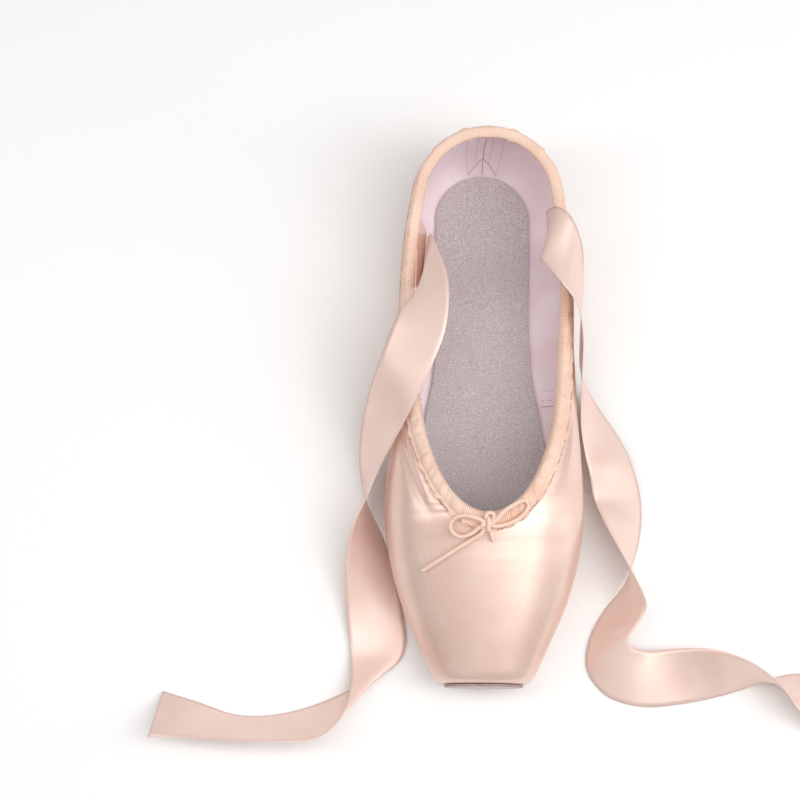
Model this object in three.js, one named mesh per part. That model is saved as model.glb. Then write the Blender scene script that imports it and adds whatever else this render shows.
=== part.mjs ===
// A satin pointe shoe with its drawstring bow and two ankle ribbons, in millimetres.
// +Z is up, the toe points towards -Y, and the origin is on the floor under the centre of the heel seat.
// Every shape is worked out from one last: a table of sections along the foot, mirrored about X = 0.
import * as THREE from "three";
import { mergeVertices } from "three/addons/utils/BufferGeometryUtils.js";

// Driving sizes
const heelCentre = 203.5; // from the toe tip to the centre that the heel turns about
const heelTurn = 47; // path length given to the quarter turn from the side to the heel's back
const heelBack = heelCentre + heelTurn;
const throat = 67.5; // from the toe tip to the collar's front
const collarSide = 121.5; // from the toe tip to where the rounded throat joins the straight collar
const crownPower = 2.25; // 2 is an ellipse over the foot, more is squarer
const gap = 0.35; // clearance between pieces that meet

const soleThick = 2.15;
const soleInset = 1.5; // the outsole stays this far inside the flat of the bottom
const soleFront = 13;
const soleFrontRound = 24;

const marginWide = 9; // how far the upper turns in under the foot
const marginFront = 18; // where the opening under the upper begins
const marginFrontRound = 26;

const insoleThick = 2;
const insoleProud = 1.6; // how far the insole's top reaches past the flat of the bottom
const insoleBevel = 2.2; // how much narrower its underside is
const insoleFront = 24;
const insoleFrontRound = 26;

const bindingDeep = 8; // the tape's fold, from its top down each side
const bindingThick = 0.8;
const bindingRound = 0.1; // how far its top is drawn in at each side
const bindingSlack = 0.75; // clearance between the tape and the wall's inner side
const rimDrop = 1.3; // the upper's raw edge sits this far below the tape's top

const patchThick = 1.1;
const patchBevel = 0.4;

const ribbonWide = 24;
const ribbonThick = 0.7;
const ribbonSteps = 4; // between one fold and the next
const cordThick = 1.7;
const cordSides = 8;
const nudge = 0.02; // step for measuring a slope
const hair = 1e-6; // nearer than this is on the middle line

// The last. along: distance from the toe tip, then round the heel. half: greatest half width, at belly.
// flat: half width of the flat bottom, at height under. collar: half width at the collar's edge.
// crest: height of the vamp's ridge, then of the collar's edge. wall: thickness of the upper.
const last = [
  { along: 0, half: 17, belly: 17.5, flat: 7.5, under: 7, collar: 26, crest: 27.6, wall: 3 },
  { along: 0.8, half: 19, belly: 17.5, flat: 9, under: 5.6, collar: 26, crest: 29.4, wall: 3 },
  { along: 3, half: 20.8, belly: 17.5, flat: 11, under: 4.6, collar: 26, crest: 31.2, wall: 3 },
  { along: 8, half: 23.4, belly: 17.6, flat: 13, under: 3.9, collar: 26, crest: 33, wall: 3 },
  { along: 18.5, half: 28.2, belly: 18, flat: 17.5, under: 2.9, collar: 26, crest: 36.4, wall: 3 },
  { along: 34, half: 34.8, belly: 18.5, flat: 22, under: 2.5, collar: 26, crest: 40.8, wall: 2.8 },
  { along: 52.5, half: 39.8, belly: 19, flat: 26, under: 2.5, collar: 27, crest: 45.6, wall: 2.4 },
  { along: 70, half: 41.8, belly: 19.5, flat: 28, under: 2.5, collar: 27.5, crest: 49.2, wall: 1.8 },
  { along: 92.5, half: 40.9, belly: 20.2, flat: 27, under: 2.6, collar: 28, crest: 46.6, wall: 1.6 },
  { along: 112.5, half: 39.3, belly: 21.5, flat: 23.5, under: 4.2, collar: 29, crest: 43, wall: 1.6 },
  { along: 137.5, half: 38, belly: 23, flat: 19.4, under: 5.6, collar: 31.2, crest: 40.6, wall: 1.6 },
  { along: 162.5, half: 37, belly: 23.8, flat: 18.6, under: 4.6, collar: 32.8, crest: 41.4, wall: 1.6 },
  { along: 185.5, half: 35.6, belly: 23, flat: 19, under: 2.5, collar: 31.8, crest: 45.4, wall: 1.6 },
  { along: 203.5, half: 33.2, belly: 21.8, flat: 19, under: 2.5, collar: 29.2, crest: 49.6, wall: 1.6 },
  { along: 226.5, half: 31, belly: 21, flat: 19, under: 2.5, collar: 26.4, crest: 53, wall: 1.6 },
  { along: 250.5, half: 30, belly: 20.5, flat: 19, under: 2.5, collar: 24.8, crest: 54.6, wall: 1.6 },
];

// A smooth reading of one column: cubic between the rows, never past their values.
function reading(rows, column, by = "along") {
  const x = rows.map((row) => row[by]);
  const y = rows.map((row) => row[column]);
  const rise = y.slice(1).map((value, i) => (value - y[i]) / (x[i + 1] - x[i]));
  const slope = y.map((_, i) => {
    if (i === 0) return rise[0];
    if (i === rise.length) return rise[i - 1];
    return rise[i - 1] * rise[i] <= 0 ? 0 : (2 * rise[i - 1] * rise[i]) / (rise[i - 1] + rise[i]);
  });
  return (at) => {
    let i = 0;
    while (i < x.length - 2 && at > x[i + 1]) i++;
    const span = x[i + 1] - x[i];
    const t = Math.min(1, Math.max(0, (at - x[i]) / span));
    const s = 1 - t;
    return (
      y[i] * s * s * (1 + 2 * t) +
      y[i + 1] * t * t * (1 + 2 * s) +
      span * t * s * (slope[i] * s - slope[i + 1] * t)
    );
  };
}

const halfAt = reading(last, "half");
const bellyAt = reading(last, "belly");
const flatAt = reading(last, "flat");
const underAt = reading(last, "under");
const collarAt = reading(last, "collar");
const crestAt = reading(last, "crest");
const wallAt = reading(last, "wall");

// A point out from the middle line, or from the heel's centre, and up.
function place(along, out, up) {
  const turn = ((Math.max(heelCentre, along) - heelCentre) / heelTurn) * (Math.PI / 2);
  const back = Math.min(along, heelCentre) - heelCentre;
  return new THREE.Vector3(out * Math.cos(turn), back + out * Math.sin(turn), up);
}

// How far the collar's curve has closed in towards the throat, deep below its edge.
function closing(along, deep) {
  const share = (collarSide - along) / (collarSide - throat + deep);
  return Math.sqrt(Math.max(0, 1 - Math.max(0, share) ** 2));
}

// Height of the last's ridge, if it were closed over the foot.
function crownAt(along) {
  const share = (collarAt(along) * closing(along, 0)) / halfAt(along);
  const rise = (1 - share ** crownPower) ** (1 / crownPower);
  return bellyAt(along) + (crestAt(along) - bellyAt(along)) / rise;
}

// Angle up the crown at a distance out from the middle.
function angleOut(along, out) {
  return Math.acos(Math.min(1, out / halfAt(along)) ** (crownPower / 2));
}

// Across and up on the crown, at an angle of 0 at the widest point and a quarter turn at the ridge.
function crownPoint(along, angle) {
  const c = Math.sign(Math.cos(angle)) * Math.abs(Math.cos(angle)) ** (2 / crownPower);
  const s = Math.sign(Math.sin(angle)) * Math.abs(Math.sin(angle)) ** (2 / crownPower);
  return [halfAt(along) * c, bellyAt(along) + (crownAt(along) - bellyAt(along)) * s];
}

// Distance out of the line that runs deep below the collar's edge.
function rimOut(along, deep) {
  let angle = angleOut(along, collarAt(along));
  let [out, up] = crownPoint(along, angle);
  const step = 0.01;
  for (let gone = 0; gone < deep && angle > step; ) {
    angle -= step;
    const [nextOut, nextUp] = crownPoint(along, angle);
    gone += Math.hypot(nextOut - out, nextUp - up);
    [out, up] = [nextOut, nextUp];
  }
  return out * closing(along, deep);
}

// A point on the crown, lifted off it along its normal.
function crownSkin(along, angle, lift) {
  const at = (a, g) => place(a, ...crownPoint(heelBack - Math.abs(heelBack - a), g));
  const lengthways = at(along + nudge, angle).sub(at(along - nudge, angle));
  const up = at(along, angle + nudge).sub(at(along, angle - nudge));
  return at(along, angle).addScaledVector(lengthways.cross(up).normalize(), lift);
}

// One section of the upper as points [out, up] from the bottom's middle to the collar, inset by its wall.
const bottomSteps = 2;
const cornerSteps = 5;
const crownSteps = 9;

function section(along, inset) {
  const half = halfAt(along);
  const belly = bellyAt(along);
  const flat = flatAt(along);
  const under = underAt(along);
  const share = Math.max(0, (marginFront + marginFrontRound - along) / marginFrontRound);
  const start = (flat - marginWide) * Math.sqrt(Math.max(0, 1 - share ** 2));
  const end = angleOut(along, rimOut(along, rimDrop));
  const points = [];
  for (let i = 0; i < bottomSteps; i++) {
    points.push([start + ((flat - start) * i) / bottomSteps, under, 0, -1]);
  }
  for (let i = 0; i < cornerSteps; i++) {
    const a = ((Math.PI / 2) * i) / cornerSteps;
    const across = half - flat;
    const high = belly - under;
    const normal = new THREE.Vector2(high * Math.sin(a), -across * Math.cos(a)).normalize();
    points.push([flat + across * Math.sin(a), belly - high * Math.cos(a), normal.x, normal.y]);
  }
  for (let i = 0; i <= crownSteps; i++) {
    const a = (end * i) / crownSteps;
    const [out, up] = crownPoint(along, a);
    const normal = new THREE.Vector2(1, 0);
    if (i > 0) {
      const [beforeOut, beforeUp] = crownPoint(along, a - nudge);
      const [afterOut, afterUp] = crownPoint(along, Math.min(Math.PI / 2, a + nudge));
      normal.set(afterUp - beforeUp, beforeOut - afterOut).normalize();
    }
    if (along <= throat - rimDrop && i === crownSteps) normal.set(0, 1);
    points.push([out, up, normal.x, normal.y]);
  }
  return points.map(([out, up, nx, ny]) => [Math.max(0, out - inset * nx), up - inset * ny]);
}

// Triangles gathered into one closed surface.
class Skin {
  constructor() {
    this.corners = [];
  }
  triangle(a, b, c) {
    const area = b.clone().sub(a).cross(c.clone().sub(a)).length();
    if (area > 10 * hair) this.corners.push(a, b, c);
  }
  quad(a, b, c, d) {
    this.triangle(a, b, c);
    this.triangle(a, c, d);
  }
  // Rows of points, faced by the right-hand rule from row to row and along each row, or turned over.
  sheet(rows, turned = false) {
    for (let i = 0; i + 1 < rows.length; i++) {
      for (let j = 0; j + 1 < rows[i].length; j++) {
        const [a, b, c, d] = [rows[i][j], rows[i + 1][j], rows[i + 1][j + 1], rows[i][j + 1]];
        if (turned) this.quad(a, d, c, b);
        else this.quad(a, b, c, d);
      }
    }
  }
  fan(centre, loop) {
    loop.forEach((point, i) => this.triangle(centre, point, loop[(i + 1) % loop.length]));
  }
  // The same surface mirrored about X = 0.
  mirror() {
    const flip = (p) => new THREE.Vector3(-p.x, p.y, p.z);
    const right = this.corners.slice();
    for (let i = 0; i < right.length; i += 3) {
      this.corners.push(flip(right[i]), flip(right[i + 2]), flip(right[i + 1]));
    }
  }
  mesh(name, material) {
    const geometry = new THREE.BufferGeometry().setFromPoints(this.corners);
    const mesh = new THREE.Mesh(mergeVertices(geometry, 1e-3), material);
    mesh.geometry.computeVertexNormals();
    mesh.name = name;
    return mesh;
  }
}

const material = (color, roughness) => new THREE.MeshStandardMaterial({ color, roughness, metalness: 0 });
const satin = material(0xf6d3c0, 0.42);
const ribbonSatin = material(0xf0c4b8, 0.4);
const tape = material(0xf7d6bd, 0.8);
const cotton = material(0xf2c9b4, 0.85);
const leather = material(0xc9a583, 0.7);
const felt = material(0xb3abac, 0.95);
const suede = material(0xb59f9b, 0.95);

// Places along the last: the toe, a quarter turn round the throat, the side and the heel.
const turnSteps = 9;
const throatAngles = Array.from({ length: turnSteps }, (_, i) => (i * Math.PI) / 2 / turnSteps);
const toeStations = [0, 0.8, 3, 8, 18, 24, 32, 44, 53, 60];
const sideStations = [collarSide, 134, 147, 160, 173, 186, 196, 203.5, 212, 221, 231, 241, heelBack];

function upperStations() {
  const reach = collarSide - throat + rimDrop;
  return [...toeStations, ...throatAngles.map((a) => collarSide - reach * Math.cos(a)), ...sideStations];
}

// The upper: one hollow wall, closed round the toe and open at the collar and under the foot.
function upper() {
  const skin = new Skin();
  const stations = upperStations();
  const rows = (inset) =>
    stations.map((along) => section(along, inset * wallAt(along)).map(([out, up]) => place(along, out, up)));
  const toeWall = wallAt(0);
  const hidden = stations.filter((along) => along < toeWall + 1).length;
  const outside = rows(0);
  const inside = [
    section(toeWall, toeWall).map(([out, up]) => place(toeWall, out, up)),
    ...rows(1).slice(hidden),
  ];
  skin.sheet(outside);
  skin.sheet(inside, true);
  // The raw edges under the foot and round the collar. Both begin where the wall parts.
  const edge = (column, turned) => {
    const strip = outside.slice(hidden).map((row, i) => [row.at(column), inside[i + 1].at(column)]);
    const parting = strip.findIndex((pair) => pair[0].x > hair) - 1;
    skin.sheet(strip.slice(parting), turned);
  };
  edge(0, true);
  edge(-1, false);
  skin.mirror();
  // The platform outside, and the wall behind it inside.
  const platform = (row, faced) => {
    const right = row.filter((p) => p.x > hair);
    const ends = [row[0], row.at(-1)];
    const left = right.map((p) => new THREE.Vector3(-p.x, p.y, p.z)).reverse();
    const loop = [ends[0], ...right, ends[1], ...left];
    skin.fan(new THREE.Vector3(0, row[0].y, bellyAt(0)), faced ? loop : loop.reverse());
  };
  platform(outside[0], true);
  platform(inside[0], false);
  return skin.mesh("upper", satin);
}

// A flat plate between two heights, narrower below by its bevel, with its outline mirrored about the middle.
function plate(name, look, [stations, outAt], lowAt, highAt, bevel) {
  const skin = new Skin();
  const shares = [0, 0.5, 1];
  const rows = (heightAt, less) =>
    stations.map((along) => {
      const out = outAt(along) * (1 - less / (flatAt(along) + 1));
      return shares.map((share) => place(along, share * out, heightAt(along)));
    });
  const low = rows(lowAt, bevel);
  const high = rows(highAt, 0);
  skin.sheet(low);
  skin.sheet(high, true);
  skin.sheet(low.map((row, i) => [row.at(-1), high[i].at(-1)]));
  skin.mirror();
  return skin.mesh(name, look);
}

// A plate's rounded front: stations and half widths over a quarter turn, then the flat's own outline.
function rounded(front, round, widest) {
  const turn = [0, 12, 26, 42, 60, 90].map((degrees) => (degrees * Math.PI) / 180);
  const stations = turn.map((a) => front + round * (1 - Math.cos(a)));
  const rest = [52, 63, 73, 82, 92, 102, 112, ...sideStations].filter((along) => along > front + round + 2);
  const outAt = (along) => {
    const share = Math.max(0, (front + round - along) / round);
    return (flatAt(along) + widest) * Math.sqrt(Math.max(0, 1 - share * share));
  };
  return [[...stations, ...rest], outAt];
}

function outsole() {
  const outline = rounded(soleFront, soleFrontRound, -soleInset);
  const highAt = (along) => underAt(along) - gap;
  return plate("outsole", leather, outline, (along) => highAt(along) - soleThick, highAt, 0);
}

function insole() {
  const outline = rounded(insoleFront, insoleFrontRound, insoleProud);
  const lowAt = (along) => underAt(along) + wallAt(along) + gap;
  return plate("insole", felt, outline, lowAt, (along) => lowAt(along) + insoleThick, insoleBevel);
}

// The suede disc on the platform, a little proud of the satin.
function toePatch() {
  const skin = new Skin();
  const outline = section(0, 0);
  const front = -gap - patchThick;
  const rings = [
    { along: -gap, share: 1 },
    { along: front + patchBevel, share: 1 },
    { along: front, share: 1 - patchBevel / bellyAt(0) },
  ];
  const rows = rings.map(({ along, share }) =>
    outline.map(([out, up]) => place(along, out * share, bellyAt(0) + (up - bellyAt(0)) * share)),
  );
  skin.sheet(rows, true);
  const centre = (along) => place(along, 0, bellyAt(0));
  const half = (row, middle) => row.slice(1).forEach((point, i) => skin.triangle(middle, row[i], point));
  half(rows.at(-1), centre(front));
  half(rows[0].slice().reverse(), centre(-gap));
  skin.mirror();
  return skin.mesh("toe_patch", suede);
}

// A point deep below the collar's edge, at a turn round the throat or at a place along the side.
function collarPoint({ turn, along }, deep, lift) {
  const at = turn === undefined ? along : collarSide - (collarSide - throat + deep) * Math.cos(turn);
  return crownSkin(at, angleOut(at, rimOut(at, deep)), lift);
}

// The tape folded over the collar's raw edge: a channel that follows it from the throat to the heel's back.
function binding() {
  const skin = new Skin();
  const [low, middle, high] = [bindingDeep, 0.56 * bindingDeep, 0.18 * bindingDeep];
  const ring = (spot) => {
    const inner = -(wallAt(spot.along) + bindingSlack);
    const at = (depths, lift) => depths.map((deep) => collarPoint(spot, deep, lift));
    const loop = [
      ...at([low, middle, high], gap + bindingThick),
      ...at([0], gap + bindingRound),
      ...at([0], inner - bindingRound),
      ...at([high, middle, low], inner - bindingThick),
      ...at([low, middle, bindingThick], inner),
      ...at([bindingThick, middle, low], gap),
    ];
    return [...loop, loop[0]];
  };
  const front = (turn) => collarSide - (collarSide - throat) * Math.cos(turn);
  const round = throatAngles.map((turn) => ({ turn, along: front(turn) }));
  const side = sideStations.map((along) => ({ along }));
  skin.sheet([...round, ...side].map(ring));
  skin.mirror();
  return skin.mesh("binding", tape);
}

// A ribbon is a run of folds: the middle of its width, the way the width points in plan, and its tilt.
const ribbonLeftFolds = [
  { x: -26.2, y: -28.5, z: 34.5, across: 84, tilt: 0 },
  { x: -25.9, y: -28.8, z: 41, across: 83, tilt: 0 },
  { x: -26, y: -31.5, z: 47.2, across: 78, tilt: 3 },
  { x: -26.6, y: -37.5, z: 51.6, across: 64, tilt: 9 },
  { x: -27, y: -48, z: 54.2, across: 28, tilt: 23 },
  { x: -29.2, y: -61, z: 53.6, across: -5, tilt: 24 },
  { x: -34.6, y: -75.5, z: 49, across: -19, tilt: 27 },
  { x: -40, y: -88, z: 41.5, across: -25, tilt: 34 },
  { x: -44.5, y: -100, z: 31, across: -20, tilt: 48 },
  { x: -48, y: -113, z: 19, across: -12, tilt: 68 },
  { x: -49, y: -126, z: 12.9, across: 0, tilt: 90 },
  { x: -49, y: -140, z: 10.9, across: 0, tilt: 123 },
  { x: -47.5, y: -155, z: 6.6, across: 0, tilt: 150 },
  { x: -45.5, y: -172, z: 2.6, across: 4, tilt: 171 },
  { x: -43.5, y: -188, z: 1.6, across: 12, tilt: 176 },
  { x: -46, y: -201, z: 4.2, across: 32, tilt: 163 },
  { x: -55, y: -211, z: 7.2, across: 58, tilt: 147 },
  { x: -69, y: -219, z: 9.6, across: 82, tilt: 131 },
  { x: -86, y: -222, z: 11.1, across: 94, tilt: 119 },
  { x: -103, y: -222, z: 11.2, across: 90, tilt: 118 },
  { x: -120, y: -219, z: 9.8, across: 80, tilt: 130 },
  { x: -136, y: -216.5, z: 7.5, across: 78, tilt: 145 },
];
const ribbonRightFolds = [
  { x: 28.4, y: -19.5, z: 34, across: 98, tilt: 0 },
  { x: 26.2, y: -19.2, z: 43.5, across: 97, tilt: 0 },
  { x: 25, y: -18.6, z: 50.3, across: 73, tilt: 2 },
  { x: 29.4, y: -23.8, z: 53.4, across: 65, tilt: 0 },
  { x: 34.9, y: -33, z: 51.2, across: 64, tilt: -28 },
  { x: 38.8, y: -44.5, z: 43.5, across: 70, tilt: -56 },
  { x: 40.4, y: -59, z: 32.5, across: 78, tilt: -74 },
  { x: 41.4, y: -74, z: 23, across: 72, tilt: -70 },
  { x: 45.5, y: -89, z: 15.5, across: 50, tilt: -52 },
  { x: 50.5, y: -100, z: 12, across: 35, tilt: -38 },
  { x: 54.5, y: -110, z: 10.5, across: 25, tilt: -30 },
  { x: 58, y: -123, z: 7.5, across: 10, tilt: -27 },
  { x: 60, y: -136, z: 9.5, across: 0, tilt: -44 },
  { x: 61.5, y: -149, z: 12.1, across: 0, tilt: -70 },
  { x: 62, y: -160, z: 13, across: 0, tilt: -95 },
  { x: 60, y: -171, z: 9.9, across: 5, tilt: -132 },
  { x: 55, y: -181, z: 8.6, across: 16, tilt: -141 },
  { x: 53, y: -190, z: 7.4, across: 40, tilt: -147 },
  { x: 58.5, y: -197, z: 5.6, across: 65, tilt: -157 },
  { x: 70, y: -199.5, z: 3.4, across: 82, tilt: -168 },
  { x: 84, y: -198.5, z: 4.4, across: 92, tilt: -162 },
  { x: 98, y: -197.5, z: 8.4, across: 94, tilt: -142 },
  { x: 111, y: -198.5, z: 12, across: 92, tilt: -113 },
  { x: 122, y: -201, z: 12.6, across: 86, tilt: -82 },
  { x: 133, y: -205, z: 9.4, across: 78, tilt: -45 },
  { x: 146, y: -210, z: 4.2, across: 70, tilt: -14 },
  { x: 160, y: -215, z: 1.4, across: 66, tilt: -2 },
  { x: 176, y: -221, z: 1.2, across: 68, tilt: 0 },
];
function ribbon(name, folds) {
  const edge = (side) => {
    const points = folds.map(({ x, y, z, across, tilt }) => {
      const [plan, rise] = [across, tilt].map(THREE.MathUtils.degToRad);
      const reach = new THREE.Vector3(Math.cos(plan), Math.sin(plan), 0).multiplyScalar(Math.cos(rise));
      return new THREE.Vector3(x, y, z).addScaledVector(reach.setZ(Math.sin(rise)), (side * ribbonWide) / 2);
    });
    return new THREE.CatmullRomCurve3(points);
  };
  const [near, far] = [edge(-1), edge(1)];
  const count = (folds.length - 1) * ribbonSteps;
  const at = (curve, i) => curve.getPoint(Math.min(count, Math.max(0, i)) / count);
  const rows = Array.from({ length: count + 1 }, (_, i) => {
    const a = at(near, i);
    const b = at(far, i);
    const onwards = at(near, i + 1).add(at(far, i + 1)).sub(at(near, i - 1)).sub(at(far, i - 1));
    const lift = onwards.cross(b.clone().sub(a)).setLength(ribbonThick / 2);
    return [a.clone().add(lift), b.clone().add(lift), b.clone().sub(lift), a.clone().sub(lift)];
  });
  const skin = new Skin();
  skin.sheet(rows.map(([a, b]) => [a, b]));
  skin.sheet(rows.map(([a, b, c, d]) => [d, c]), true);
  skin.sheet(rows.map(([a, b, c]) => [b, c]));
  skin.sheet(rows.map(([a, b, c, d]) => [d, a]));
  skin.quad(...rows[0]);
  skin.quad(...rows.at(-1).slice().reverse());
  return skin.mesh(name, ribbonSatin);
}

// The drawstring's bow lies on the vamp before the throat: x across, along from the toe, lift off the vamp.
const knotAt = { x: -0.6, along: 62.8, lift: 3.4 };
const knotSize = { x: 5, y: 5.6, z: 3.4 };
const bowRuns = {
  bow_loop_left: [
    { x: -3.6, along: 64.4, lift: 3.8 },
    { x: -7.8, along: 65.7, lift: 4.4 },
    { x: -11.8, along: 65.6, lift: 3.8 },
    { x: -14.8, along: 63.2, lift: 3 },
    { x: -14.3, along: 59.8, lift: 2.6 },
    { x: -11.2, along: 57.8, lift: 2.4 },
    { x: -7.4, along: 58.8, lift: 2.6 },
    { x: -4.1, along: 61.2, lift: 3 },
  ],
  bow_loop_right: [
    { x: 2.9, along: 61.9, lift: 3 },
    { x: 8.2, along: 63.2, lift: 2.7 },
    { x: 12.8, along: 66, lift: 2.8 },
    { x: 15.2, along: 69.8, lift: 3.1 },
    { x: 13.4, along: 72.2, lift: 3.7 },
    { x: 9, along: 70.2, lift: 4.4 },
    { x: 5, along: 67, lift: 4.3 },
    { x: 2.6, along: 64.5, lift: 3.8 },
  ],
  bow_end_long: [
    { x: -3.5, along: 58.6, lift: 2.7 },
    { x: -7, along: 56.4, lift: 2 },
    { x: -10.8, along: 54, lift: 1.8 },
    { x: -15.8, along: 50.8, lift: 1.7 },
    { x: -20.8, along: 47.7, lift: 1.7 },
    { x: -25.6, along: 44.6, lift: 1.8 },
  ],
  bow_end_short: [
    { x: 0.6, along: 59.5, lift: 2.7 },
    { x: 1.3, along: 57.6, lift: 2.4 },
    { x: 1.9, along: 55.8, lift: 2.1 },
  ],
};

function onVamp({ x, along, lift }) {
  const point = crownSkin(along, angleOut(along, Math.abs(x)), lift);
  return x < 0 ? point.setX(-point.x) : point;
}

function bowRun(name, run) {
  const path = new THREE.CatmullRomCurve3(run.map(onVamp));
  const round = new THREE.Shape().setFromPoints(
    Array.from({ length: cordSides }, (_, i) => {
      const turn = (i * 2 * Math.PI) / cordSides;
      return new THREE.Vector2(Math.cos(turn), Math.sin(turn)).multiplyScalar(cordThick / 2);
    }),
  );
  const steps = Math.ceil(path.getLength() / (2 * cordThick)) + 4;
  const tube = new THREE.ExtrudeGeometry(round, { steps, extrudePath: path, bevelEnabled: false });
  const mesh = new THREE.Mesh(tube, tape);
  mesh.name = name;
  return mesh;
}

function bowKnot() {
  const mesh = new THREE.Mesh(new THREE.SphereGeometry(0.5, 10, 8), tape);
  mesh.scale.set(knotSize.x, knotSize.y, knotSize.z);
  mesh.position.copy(onVamp(knotAt));
  mesh.name = "bow_knot";
  return mesh;
}

const shoe = new THREE.Group();
shoe.add(upper(), outsole(), insole(), toePatch(), binding());
shoe.add(bowKnot(), ...Object.entries(bowRuns).map(([name, run]) => bowRun(name, run)));
shoe.add(ribbon("ribbon_left", ribbonLeftFolds), ribbon("ribbon_right", ribbonRightFolds));
export default shoe;
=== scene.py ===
import math
import bmesh
import bpy
import numpy as np
from mathutils import Matrix, Vector


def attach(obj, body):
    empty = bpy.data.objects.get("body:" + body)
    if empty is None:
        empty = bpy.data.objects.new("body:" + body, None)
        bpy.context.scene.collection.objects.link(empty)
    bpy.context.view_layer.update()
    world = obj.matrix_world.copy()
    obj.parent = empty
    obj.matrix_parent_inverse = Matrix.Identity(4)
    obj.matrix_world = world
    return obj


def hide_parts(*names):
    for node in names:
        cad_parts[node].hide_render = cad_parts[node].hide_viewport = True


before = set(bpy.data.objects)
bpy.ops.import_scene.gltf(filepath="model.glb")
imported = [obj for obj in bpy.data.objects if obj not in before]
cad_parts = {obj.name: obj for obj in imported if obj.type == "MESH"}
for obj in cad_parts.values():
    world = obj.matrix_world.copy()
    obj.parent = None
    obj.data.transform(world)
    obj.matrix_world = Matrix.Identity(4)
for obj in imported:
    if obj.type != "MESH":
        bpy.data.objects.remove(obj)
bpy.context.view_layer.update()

mm = 0.001

# camera, lights and floor
cameraSet = {"place": (-0.052, -0.249, 0.800), "pitch": 0.2081, "yaw": -0.0203, "roll": 0.0143, "lens": 84.4}


def makeCamera(spec):
    # the lens looks straight down with the heel upwards, then tips towards the heel, turns and rolls
    data = bpy.data.cameras.new("camera")
    data.lens = spec["lens"]
    data.sensor_width = 36
    data.clip_start = 0.01
    camera = bpy.data.objects.new("camera", data)
    bpy.context.scene.collection.objects.link(camera)
    turn = Matrix.Rotation(spec["pitch"], 4, "X") @ Matrix.Rotation(spec["yaw"], 4, "Y")
    turn = turn @ Matrix.Rotation(spec["roll"], 4, "Z")
    camera.matrix_world = Matrix.Translation(spec["place"]) @ turn
    bpy.context.scene.camera = camera


makeCamera(cameraSet)

lightSet = {
    "right": {"place": (0.62, -0.16, 0.40), "aim": (0, -0.12, 0.03), "size": (0.26, 1.0), "power": 1.4},
    "left": {"place": (-0.46, -0.12, 0.66), "aim": (0, -0.12, 0.03), "size": (0.14, 0.9), "power": 1.5},
    "top": {"place": (0.40, -0.28, 1.02), "aim": (0, -0.12, 0.0), "size": (0.62, 1.1), "power": 5.6},
}
worldSet = {"color": (1.0, 0.985, 0.975), "overhead": 0.60, "horizon": 0.20}
floorSet = {"size": 6.0, "below": 0.0001, "color": (0.97, 0.968, 0.966, 1)}


def makeLights():
    # three rectangular lamps that face their aims, under a plain dome
    for name, spec in lightSet.items():
        data = bpy.data.lights.new(name, "AREA")
        data.shape = "RECTANGLE"
        data.size, data.size_y = spec["size"]
        data.energy = spec["power"]
        lamp = bpy.data.objects.new(name, data)
        bpy.context.scene.collection.objects.link(lamp)
        lamp.location = spec["place"]
        aim = Vector(spec["aim"]) - Vector(spec["place"])
        lamp.rotation_euler = aim.to_track_quat("-Z", "Y").to_euler()
    world = bpy.data.worlds.new("studio")
    bpy.context.scene.world = world
    world.use_nodes = True
    tree = world.node_tree
    back = tree.nodes["Background"]
    back.inputs["Color"].default_value = (*worldSet["color"], 1)
    # a dome that is bright overhead and dimmer towards the horizon
    coordinates = tree.nodes.new("ShaderNodeTexCoord")
    split = tree.nodes.new("ShaderNodeSeparateXYZ")
    rise = tree.nodes.new("ShaderNodeMapRange")
    rise.inputs["To Min"].default_value = worldSet["horizon"]
    rise.inputs["To Max"].default_value = worldSet["overhead"]
    tree.links.new(coordinates.outputs["Generated"], split.inputs[0])
    tree.links.new(split.outputs[2], rise.inputs["Value"])
    tree.links.new(rise.outputs[0], back.inputs["Strength"])


makeLights()
bpy.context.scene.view_settings.view_transform = "Standard"
print("camera and lights made")

# the last: sections along the foot, in millimetres, mirrored about X = 0
# along runs from the toe to the heel's centre, then on round the heel
last = {
    "along": (0, 0.8, 3, 8, 18.5, 34, 52.5, 70, 92.5, 112.5, 137.5, 162.5, 185.5, 203.5, 226.5, 250.5),
    "half": (17, 19, 20.8, 23.4, 28.2, 34.8, 39.8, 41.8, 40.9, 39.3, 38, 37, 35.6, 33.2, 31, 30),
    "belly": (17.5, 17.5, 17.5, 17.6, 18, 18.5, 19, 19.5, 20.2, 21.5, 23, 23.8, 23, 21.8, 21, 20.5),
    "flat": (7.5, 9, 11, 13, 17.5, 22, 26, 28, 27, 23.5, 19.4, 18.6, 19, 19, 19, 19),
    "under": (7, 5.6, 4.6, 3.9, 2.9, 2.5, 2.5, 2.5, 2.6, 4.2, 5.6, 4.6, 2.5, 2.5, 2.5, 2.5),
    "collar": (26, 26, 26, 26, 26, 26, 27, 27.5, 28, 29, 31.2, 32.8, 31.8, 29.2, 26.4, 24.8),
    "crest": (27.6, 29.4, 31.2, 33, 36.4, 40.8, 45.6, 49.2, 46.6, 43, 40.6, 41.4, 45.4, 49.6, 53, 54.6),
    "wall": (3, 3, 3, 3, 3, 2.8, 2.4, 1.8, 1.6, 1.6, 1.6, 1.6, 1.6, 1.6, 1.6, 1.6),
}
heelCentre = 203.5
heelBack = 250.5
throat = 67.5
collarSide = 121.5
crownPower = 2.25
rimDrop = 1.3


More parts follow.
